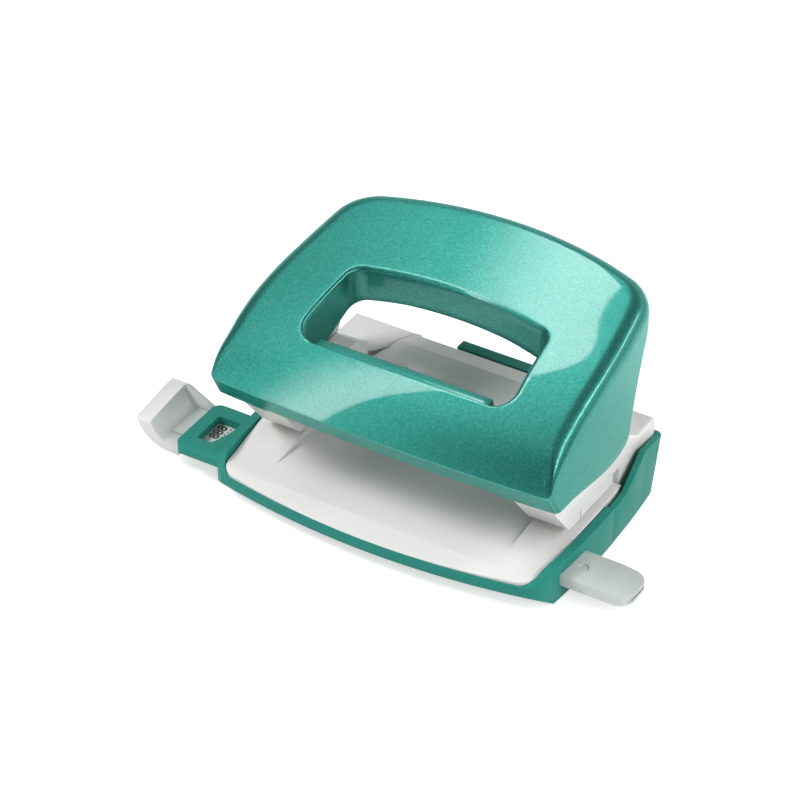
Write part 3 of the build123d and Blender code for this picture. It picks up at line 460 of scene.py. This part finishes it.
def smooth_curve(points):
    """A smooth function through points with rising first coordinates: a natural cubic spline."""
    xs = [p[0] for p in points]
    ys = [p[1] for p in points]
    count = len(points)
    gaps = [xs[i + 1] - xs[i] for i in range(count - 1)]
    bend = [0.0] * count
    work = [0.0] * count
    for i in range(1, count - 1):
        share = gaps[i - 1] / (gaps[i - 1] + gaps[i])
        scale = share * bend[i - 1] + 2.0
        bend[i] = (share - 1.0) / scale
        turn = (ys[i + 1] - ys[i]) / gaps[i] - (ys[i] - ys[i - 1]) / gaps[i - 1]
        work[i] = (6.0 * turn / (gaps[i - 1] + gaps[i]) - share * work[i - 1]) / scale
    second = [0.0] * count
    for i in range(count - 2, 0, -1):
        second[i] = bend[i] * second[i + 1] + work[i]

    def value(x):
        """The curve at x. Past the points it runs on as a straight line."""
        i = max(0, min(count - 2, bisect_right(xs, x) - 1))
        a = (xs[i + 1] - x) / gaps[i]
        b = 1.0 - a
        a_in = clamp(a)
        b_in = clamp(b)
        cubic = ((a_in ** 3 - a_in) * second[i] + (b_in ** 3 - b_in) * second[i + 1]) * gaps[i] ** 2 / 6.0
        return a * ys[i] + b * ys[i + 1] + cubic

    return value


def chord_curve(points):
    """Height over the plan for a side curve with a steep front, from two splines over its chords."""
    lengths = [0.0]
    for one, two in zip(points, points[1:]):
        lengths.append(lengths[-1] + hypot(two[0] - one[0], two[1] - one[1]))
    along = smooth_curve(list(zip(lengths, [p[0] for p in points])))
    height = smooth_curve(list(zip(lengths, [p[1] for p in points])))
    stops = [lengths[-1] * k / CURVE_STEPS for k in range(CURVE_STEPS + 1)]
    table = [(along(stop), height(stop)) for stop in stops]
    starts = [row[0] for row in table]
    slope_in = (table[1][1] - table[0][1]) / (table[1][0] - table[0][0])

    def value(x):
        """The height at x. In front of the points it follows the first slope."""
        if x <= 0:
            return slope_in * x
        i = max(0, min(CURVE_STEPS - 1, bisect_right(starts, x) - 1))
        low, high = table[i], table[i + 1]
        return low[1] + (high[1] - low[1]) * (x - low[0]) / (high[0] - low[0])

    return value


crown_height = chord_curve(CROWN)
skirt_height = smooth_curve(SKIRT)


def bowed_y(x, y):
    """How far back a point lies in the bowed side view."""
    return LIP_Y + BOW_R - hypot(x, LIP_Y + BOW_R - y)


def plate_z(x, y):
    """Height of the handle's plate."""
    return LIP_Z + crown_height(bowed_y(x, y) - LIP_Y)


def on_plate(spot):
    """A spot of the plan, lifted onto the plate."""
    return Vector((spot.x, spot.y, plate_z(spot.x, spot.y)))


def inner_corner(one, two, radius, ahead):
    """Centre of the round that fits inside two circles, on the right."""
    (x1, y1, r1), (x2, y2, r2) = one, two
    r1, r2 = r1 - radius, r2 - radius
    apart = hypot(x2 - x1, y2 - y1)
    run = (apart ** 2 + r1 ** 2 - r2 ** 2) / (2 * apart)
    rise = sqrt(r1 ** 2 - run ** 2)
    ux, uy = (x2 - x1) / apart, (y2 - y1) / apart
    pair = [(x1 + run * ux - rise * uy, y1 + run * uy + rise * ux),
            (x1 + run * ux + rise * uy, y1 + run * uy - rise * ux)]
    pair.sort(key=lambda p: p[1])
    return pair[0] if ahead else pair[1]


def outline_point(circles, corner_radii, segment, share):
    """Point and outward direction at a share of one segment of an outline made of three circles."""
    front, side, back = circles
    front_corner = inner_corner(front, side, corner_radii[0], True)
    back_corner = inner_corner(side, back, corner_radii[1], False)

    def heading(centre, target):
        """Direction of a corner's centre, seen from a circle's centre."""
        return atan2(target[1] - centre[1], target[0] - centre[0])

    turns = {
        "front": (front, -pi / 2, heading(front, front_corner)),
        "lip corner": ((*front_corner, corner_radii[0]), heading(front, front_corner),
                       heading(side, front_corner)),
        "side": (side, heading(side, front_corner), heading(side, back_corner)),
        "back corner": ((*back_corner, corner_radii[1]), heading(side, back_corner),
                        heading(back, back_corner)),
        "back": (back, heading(back, back_corner), pi / 2),
    }
    (cx, cy, radius), start, end = turns[segment]
    angle = start + (end - start) * share
    return (cx + radius * cos(angle), cy + radius * sin(angle)), (cos(angle), sin(angle))


def handle_circles(z):
    """The handle's three plan circles at a height: leaning band in front, drafted sides and back."""
    grow = DRAFT * (DRAFT_Z - z)
    turn_y = BACK_Y - BACK_BOW
    turn_x = HALF_W - SIDE_R + sqrt(SIDE_R ** 2 - (turn_y - WIDE_Y) ** 2)
    back_r = (turn_x ** 2 + BACK_BOW ** 2) / (2 * BACK_BOW)
    return ((0.0, LIP_Y + BOW_R, BOW_R - BAND_LEAN * (LIP_Z - z)),
            (HALF_W - SIDE_R, WIDE_Y, SIDE_R + grow),
            (0.0, BACK_Y - back_r, back_r + grow))


def window_circles():
    """The window's three plan circles: nearly straight in front and at the sides, bowed at the back."""
    run = Vector((WINDOW_BACK[0] - WINDOW_FRONT[0], WINDOW_BACK[1] - WINDOW_FRONT[1]))
    middle = Vector(WINDOW_FRONT) + run / 2
    inward = Vector((-run.y, run.x)).normalized()
    centre = middle + inward * sqrt(EDGE_R ** 2 - (run.length / 2) ** 2)
    bow = WINDOW_BOW_Y - WINDOW_BACK[1]
    back_r = (WINDOW_BACK[0] ** 2 + bow ** 2) / (2 * bow)
    return ((0.0, WINDOW_FRONT[1] + EDGE_R, EDGE_R), (centre.x, centre.y, EDGE_R),
            (0.0, WINDOW_BOW_Y - back_r, back_r))


def wall_outline(segment, share, z):
    """Point and outward direction on the handle's wall at a height."""
    return outline_point(handle_circles(z), (LIP_CORNER_R, BACK_CORNER_R), segment, share)


def wall_point(segment, share, z):
    """Point on the handle's wall at a height."""
    return Vector((*wall_outline(segment, share, z)[0], z))


def bezier(start, start_pull, end_pull, end, count):
    """Points after the start of a cubic bend, up to its end."""
    row = []
    for k in range(1, count + 1):
        t = k / count
        row.append(start * (1 - t) ** 3 + start_pull * 3 * t * (1 - t) ** 2
                   + end_pull * 3 * t * t * (1 - t) + end * t ** 3)
    return row


def bend_radius(segment, y):
    """The bend is tight along the lip and grows along the sides to the back."""
    if segment == "front":
        return LIP_BEND_R
    reach = clamp((y - LIP_Y) / BEND_GROWTH)
    side_r = CORNER_BEND_R + (SIDE_BEND_R - CORNER_BEND_R) * reach * reach * (3 - 2 * reach)
    return side_r + (BACK_BEND_R - SIDE_BEND_R) * clamp(y / BACK_Y)


def skirt_z(segment, x, y):
    """Height of the sheet's lower edge."""
    if segment in ("back", "back corner"):
        return min(SKIRT_BACK_Z, skirt_height(min(bowed_y(x, y), SKIRT[-1][0])))
    if segment == "front":
        return BAND_MID_Z + (BAND_END_Z - BAND_MID_Z) * clamp((x - BAND_STEP_X) / BAND_STEP_W)
    along = bowed_y(x, y)
    if along < SKIRT[0][0]:
        return BAND_END_Z
    return skirt_height(min(along, SKIRT[-1][0]))


def crease_height(segment, share):
    """Height at which the wall meets the plate, by halving."""
    low = LIP_Z - BELOW_LIP
    high = LIP_Z + CROWN[-1][1] + ABOVE_CROWN
    for _ in range(HALVINGS):
        middle = (low + high) / 2
        point = wall_point(segment, share, middle)
        if middle < plate_z(point.x, point.y):
            low = middle
        else:
            high = middle
    return (low + high) / 2


def window_edge(segment, share):
    """Points from the collar's foot up, and over the rolled rim onto the plate."""
    place, out = outline_point(window_circles(), (WINDOW_R, WINDOW_R), segment, share)
    rim = Vector((*place, plate_z(*place)))
    hem = segment == "front" and abs(rim.x) < FOLD_HALF_W + HEM_SPARE
    growth = clamp((COLLAR_GROWS_Y[0] - rim.y) / (COLLAR_GROWS_Y[0] - COLLAR_GROWS_Y[1]))
    depth = HEM_H if hem else COLLAR_BACK_H + (COLLAR_FRONT_H - COLLAR_BACK_H) * growth
    foot = rim - Vector((0, 0, depth))
    top = rim - Vector((0, 0, RIM_R))
    collar = [foot.lerp(top, k / COLLAR_RINGS) for k in range(COLLAR_RINGS + 1)]
    over = on_plate(Vector((rim.x + out[0] * RIM_R, rim.y + out[1] * RIM_R, 0.0)))
    ahead = on_plate(Vector((over.x + out[0] * NEAR, over.y + out[1] * NEAR, 0.0)))
    level_in = (over - ahead).normalized()
    up_pull = top + Vector((0, 0, RIM_PULL * RIM_R))
    return collar + bezier(top, up_pull, over + level_in * RIM_PULL * RIM_R, over, BEND_RINGS)


def outer_bend(segment, share):
    """The crease between plate and wall, the plate's end, and the bend's points from there on."""
    z = crease_height(segment, share)
    crease = wall_point(segment, share, z)
    out = wall_outline(segment, share, z)[1]

    def along_plate(x, y):
        """Direction inwards on the plate."""
        rise = plate_z(x - out[0] * NEAR, y - out[1] * NEAR) - plate_z(x, y)
        return Vector((-out[0] * NEAR, -out[1] * NEAR, rise)).normalized()

    inward = along_plate(crease.x, crease.y)
    down = (wall_point(segment, share, z - 1.0) - crease).normalized()
    angle = acos(max(-1.0, min(1.0, inward.dot(down))))
    radius = bend_radius(segment, crease.y)
    reach = radius / tan(angle / 2)
    pull = 4.0 / 3.0 * tan((pi - angle) / 4) * radius
    plate_end = on_plate(crease + inward * reach)
    wall_start = wall_point(segment, share, z + down.z * reach)
    level = along_plate(plate_end.x, plate_end.y)
    bend = bezier(plate_end, plate_end - level * pull, wall_start - down * pull, wall_start, BEND_RINGS)
    return crease, plate_end, bend


def station_profile(segment, share):
    """One line of points across the sheet: collar, rim, plate, bend, and wall down to the lower edge."""
    edge = window_edge(segment, share)
    crease, plate_end, bend = outer_bend(segment, share)
    plate = [on_plate(edge[-1].lerp(plate_end, k / PLATE_RINGS)) for k in range(1, PLATE_RINGS + 1)]
    high = bend[-1].z
    low = min(skirt_z(segment, crease.x, crease.y), high - LEAST_WALL)
    wall = [wall_point(segment, share, high + (low - high) * k / WALL_RINGS)
            for k in range(1, WALL_RINGS + 1)]
    return edge + plate + bend + wall


def handle_skin():
    """The handle's sheet, as stations round the window, mirrored and thickened inwards."""
    right = [station_profile(segment, k / count) for segment, count in SEGMENTS for k in range(count)]
    right.append(station_profile("back", 1.0))
    left = [[Vector((-p.x, p.y, p.z)) for p in line] for line in right[-2:0:-1]]
    lines = right + left
    points = [p * MM for line in lines for p in line]
    piece = new_piece("handle_skin", points, grid_faces(len(lines), len(right[0]), closed=True))
    work = bmesh.new()
    work.from_mesh(piece.data)
    bmesh.ops.remove_doubles(work, verts=work.verts, dist=MERGE_GAP / 2 * MM)
    bmesh.ops.recalc_face_normals(work, faces=work.faces)
    top = max(work.faces, key=lambda face: face.calc_center_median().z)
    if top.normal.z < 0:
        bmesh.ops.reverse_faces(work, faces=work.faces)
    work.to_mesh(piece.data)
    work.free()
    thicken(piece, -1.0)
    round_edges(piece, CUT_EDGE_R, CUT_ANGLE)
    return bake_modifiers(piece)


def fold_skin():
    """The sheet folded back under the window's front edge."""
    points = []
    for k in range(FOLD_COLUMNS + 1):
        x = FOLD_HALF_W * (2 * k / FOLD_COLUMNS - 1)
        edge_z = plate_z(x, WINDOW_FRONT[1])
        points += [Vector((x, y, edge_z - drop)) * MM for y, drop in zip(FOLD_Y, FOLD_DROP)]
    piece = new_piece("handle_fold", points, grid_faces(FOLD_COLUMNS + 1, len(FOLD_Y)))
    thicken(piece, -1.0 if piece.data.polygons[0].normal.z > 0 else 1.0)
    round_edges(piece, FOLD_EDGE_R, FOLD_ANGLE, segments=3)
    return bake_modifiers(piece)


def coil_nodes():
    """Geometry nodes for a compression spring: open turns between two closed end turns."""
    tree = bpy.data.node_groups.new("coil_spring", "GeometryNodeTree")
    tree.is_modifier = True
    for label in ("Open turns", "Mean radius", "Wire radius", "Length"):
        tree.interface.new_socket(label, in_out="INPUT", socket_type="NodeSocketFloat")
    tree.interface.new_socket("Material", in_out="INPUT", socket_type="NodeSocketMaterial")
    tree.interface.new_socket("Geometry", in_out="OUTPUT", socket_type="NodeSocketGeometry")
    given = tree.nodes.new("NodeGroupInput").outputs
    joined = tree.nodes.new("GeometryNodeJoinGeometry")
    wire = calculate(tree, "MULTIPLY", given["Wire radius"], 2.0)
    middle = calculate(tree, "SUBTRACT", given["Length"], calculate(tree, "MULTIPLY", wire, 3.0))

    def run(turns, height, base):
        """One stretch of the wire's path, from a base height up."""
        spiral = add_node(tree, "GeometryNodeCurveSpiral", {
            "Resolution": COIL_STEPS, "Rotations": turns, "Height": height,
            "Start Radius": given["Mean radius"], "End Radius": given["Mean radius"]})
        lift = add_node(tree, "ShaderNodeCombineXYZ", {"Z": base})
        move = add_node(tree, "GeometryNodeTransform", {
            "Geometry": spiral.outputs["Curve"], "Translation": lift.outputs["Vector"]})
        tree.links.new(move.outputs["Geometry"], joined.inputs["Geometry"])

    low = given["Wire radius"]
    above_low = calculate(tree, "ADD", low, wire)
    run(1.0, wire, low)
    run(given["Open turns"], middle, above_low)
    run(1.0, wire, calculate(tree, "ADD", above_low, middle))
    section = add_node(tree, "GeometryNodeCurvePrimitiveCircle", {
        "Resolution": WIRE_SIDES, "Radius": given["Wire radius"]})
    sweep = add_node(tree, "GeometryNodeCurveToMesh", {
        "Curve": joined.outputs["Geometry"], "Profile Curve": section.outputs["Curve"], "Fill Caps": True})
    real = add_node(tree, "GeometryNodeRealizeInstances", {"Geometry": sweep.outputs["Mesh"]})
    dress = add_node(tree, "GeometryNodeSetMaterial", {
        "Geometry": real.outputs["Geometry"], "Material": given["Material"]})
    add_node(tree, "NodeGroupOutput", {"Geometry": dress.outputs["Geometry"]})
    return tree


def foot_of(node):
    """Middle of a node's underside, in metres."""
    low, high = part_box(node)
    return (low.x + high.x) / 2, (low.y + high.y) / 2, low.z


def spring_skin(node, tree, material):
    """A coil in the place of a return spring, as a finished mesh."""
    low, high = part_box(node)
    piece = new_object(node + "_coil", bpy.data.meshes.new(node + "_coil"))
    coil = piece.modifiers.new("coil", "NODES")
    coil.node_group = tree
    wire = SPRING_WIRE_R * MM
    values = {"Open turns": SPRING_TURNS, "Mean radius": (high.x - low.x) / 2 - wire, "Wire radius": wire,
              "Length": high.z - low.z, "Material": material}
    for item in tree.interface.items_tree:
        if item.in_out == "INPUT":
            coil[item.identifier] = values[item.name]
    bpy.context.view_layer.update()
    bake_modifiers(piece)
    piece.data.transform(Matrix.Translation(foot_of(node)))
    return piece


def press_spring(piece, node):
    """Gives a spring its own copy of its mesh."""
    if node == "detent_spring":
        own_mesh(piece)
    else:
        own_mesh(piece)


def strip_dashes():
    """Short flat marks beside the first digits."""
    points = []
    for k in range(DASH_COUNT):
        x = DASH_FIRST[0] + k * DASH_STEP[0]
        y = DASH_FIRST[1] + k * DASH_STEP[1]
        for dx, dy in ((-1, -1), (1, -1), (1, 1), (-1, 1)):
            points.append(Vector((x + dx * DASH_WIDTH / 2, y + dy * DASH_LENGTH / 2, STRIP_TOP_Z)) * MM)
    faces = [(4 * k, 4 * k + 1, 4 * k + 2, 4 * k + 3) for k in range(DASH_COUNT)]
    return new_piece("strip_dashes", points, faces)


def strip_digits(step, label):
    """One group of digits, made a thin mesh and then laid across the strip."""
    name = "strip_digits_" + str(step)
    curve = bpy.data.curves.new(name, "FONT")
    curve.body = label
    curve.size = DIGITS_SIZE * MM
    curve.offset = DIGITS_WEIGHT * MM
    curve.extrude = DIGITS_RISE * MM
    curve.align_x = "CENTER"
    curve.align_y = "CENTER"
    holder = new_object(name, curve)
    bpy.context.view_layer.update()
    mesh = finished_mesh(holder)
    place = Vector((DIGITS_AT[0] + step * STRIP_STEP, DIGITS_AT[1], STRIP_TOP_Z)) * MM
    mesh.transform(Matrix.Translation(place) @ Matrix.Rotation(pi / 2, 4, "Z"))
    bpy.data.objects.remove(holder)
    return new_object(name, mesh)


def make_camera():
    """Camera at the photograph's viewing angle."""
    data = bpy.data.cameras.new("camera")
    data.sensor_width = SENSOR_MM
    data.lens = FOCAL_PX * SENSOR_MM / FRAME_PX
    data.clip_start = 0.01
    data.clip_end = 20.0
    camera = new_object("camera", data)
    eye = Vector(EYE) * MM
    aim = Vector(AIM) * MM
    camera.location = eye
    camera.rotation_euler = (aim - eye).to_track_quat("-Z", "Y").to_euler()
    scene.camera = camera


def make_stage():
    """White floor and low backdrop that keep the object's shadow, and a grey surround."""
    corners = [(-FLOOR_HALF, -FLOOR_HALF, 0), (FLOOR_HALF, -FLOOR_HALF, 0), (FLOOR_HALF, WALL_Y, 0),
               (-FLOOR_HALF, WALL_Y, 0), (FLOOR_HALF, WALL_Y, WALL_Z), (-FLOOR_HALF, WALL_Y, WALL_Z)]
    floor = new_piece("floor", corners, [(0, 1, 2, 3), (3, 2, 4, 5)])
    material, tree, shader = new_material("pale_floor", {
        "Base Color": (*FLOOR, 1),
        "Roughness": 0.9,
        "Specular IOR Level": 0.0,
        "Emission Color": (1, 1, 1, 1),
    })
    path = add_node(tree, "ShaderNodeLightPath").outputs
    seen = calculate(tree, "MAXIMUM", path["Is Camera Ray"], path["Is Glossy Ray"])
    through = calculate(tree, "MAXIMUM", seen, path["Is Transmission Ray"])
    lift = calculate(tree, "MULTIPLY", through, FLOOR_LIFT)
    tree.links.new(lift, shader.inputs["Emission Strength"])
    floor.data.materials.append(material)
    world = bpy.data.worlds.new("surround")
    scene.world = world
    world.use_nodes = True
    world.node_tree.nodes["Background"].inputs["Color"].default_value = (1, 1, 1, 1)
    world.node_tree.nodes["Background"].inputs["Strength"].default_value = WORLD_LIGHT


def area_light(name, place, aim, size, power, in_gloss):
    """A rectangular soft light."""
    data = bpy.data.lights.new(name, "AREA")
    data.shape = "RECTANGLE"
    data.size, data.size_y = size
    data.energy = power
    lamp = new_object(name, data)
    lamp.location = place
    lamp.rotation_euler = (Vector(aim) - Vector(place)).to_track_quat("-Z", "Y").to_euler()
    lamp.visible_glossy = in_gloss


def show_in_gloss_alone(piece):
    """Stage gear that only reflections see."""
    piece.visible_camera = False
    piece.visible_diffuse = False
    piece.visible_shadow = False


def bowed_softbox():
    """A strip light bowed over the object from the front to the back, which fades out on its left."""
    edge_x = smooth_curve(SOFTBOX_EDGE)
    first, last = SOFTBOX_EDGE[0][0], SOFTBOX_EDGE[-1][0]
    points = []
    shares = []
    for i in range(SOFTBOX_ROWS + 1):
        turn = first + (last - first) * i / SOFTBOX_ROWS
        y = SOFTBOX_Y - SOFTBOX_R * cos(radians(turn))
        z = SOFTBOX_Z + SOFTBOX_R * sin(radians(turn))
        for k in range(SOFTBOX_COLUMNS + 1):
            share = k / SOFTBOX_COLUMNS
            points.append(Vector((edge_x(turn) - SOFTBOX_W * (1 - share), y, z)) * MM)
            shares.append(share)
    softbox = new_piece("softbox", points, grid_faces(SOFTBOX_ROWS + 1, SOFTBOX_COLUMNS + 1))
    softbox.data.attributes.new("across", "FLOAT", "POINT").data.foreach_set("value", shares)
    material, tree, _ = new_material("softbox_cloth", {})
    tree.nodes.clear()
    across = add_node(tree, "ShaderNodeAttribute", attribute_name="across").outputs["Fac"]
    fade = add_node(tree, "ShaderNodeMapRange", {
        "Value": across, "From Max": SOFTBOX_FADE, "To Max": SOFTBOX_LIGHT,
    }, interpolation_type="SMOOTHSTEP")
    glow = add_node(tree, "ShaderNodeEmission", {"Strength": fade.outputs["Result"]})
    add_node(tree, "ShaderNodeOutputMaterial", {"Surface": glow.outputs["Emission"]})
    softbox.data.materials.append(material)
    show_in_gloss_alone(softbox)


def dark_flag():
    """A dark cloth behind the camera's place."""
    left, right = FLAG_X
    corners = [(left, *FLAG_FOOT), (right, *FLAG_FOOT), (right, *FLAG_HEAD), (left, *FLAG_HEAD)]
    flag = new_piece("flag", corners, [(0, 1, 2, 3)])
    material = new_material("flag_cloth", {"Base Color": (*FLAG_CLOTH, 1), "Roughness": 1.0})[0]
    flag.data.materials.append(material)
    show_in_gloss_alone(flag)


def skin_of(node):
    """The finished look of one CAD node."""
    if node == "handle_shell":
        return handle_skin()
    if node in COIL_JOINTS:
        return spring_skin(node, coil_tree, materials[slots[node]])
    return smooth_copy(node)


def finish_piece(piece, body, slot):
    """Gives a piece the material of its record slot, and its body."""
    if not piece.data.materials:
        piece.data.materials.append(materials[slot])
    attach(piece, body)


make_camera()
make_stage()
for lamp in LAMPS:
    area_light(*lamp)
bowed_softbox()
dark_flag()

materials = make_materials()
coil_tree = coil_nodes()
slots = {row["node"]: row["material_slot"] for row in frame["record"]["subparts"]}
for body, members in frame["record"]["behaviour"]["bodies"].items():
    for node in members:
        skin = skin_of(node)
        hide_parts(node)
        finish_piece(skin, body, slots[node])
        if node == "handle_shell":
            finish_piece(fold_skin(), body, slots[node])
        if node in COIL_JOINTS or node == "detent_spring":
            press_spring(skin, node)

for mark in [strip_dashes()] + [strip_digits(step, label) for step, label in enumerate(STRIP_LABELS)]:
    mark.data.materials.clear()
    mark.data.materials.append(materials["print_ink"])
    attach(mark, "guide")
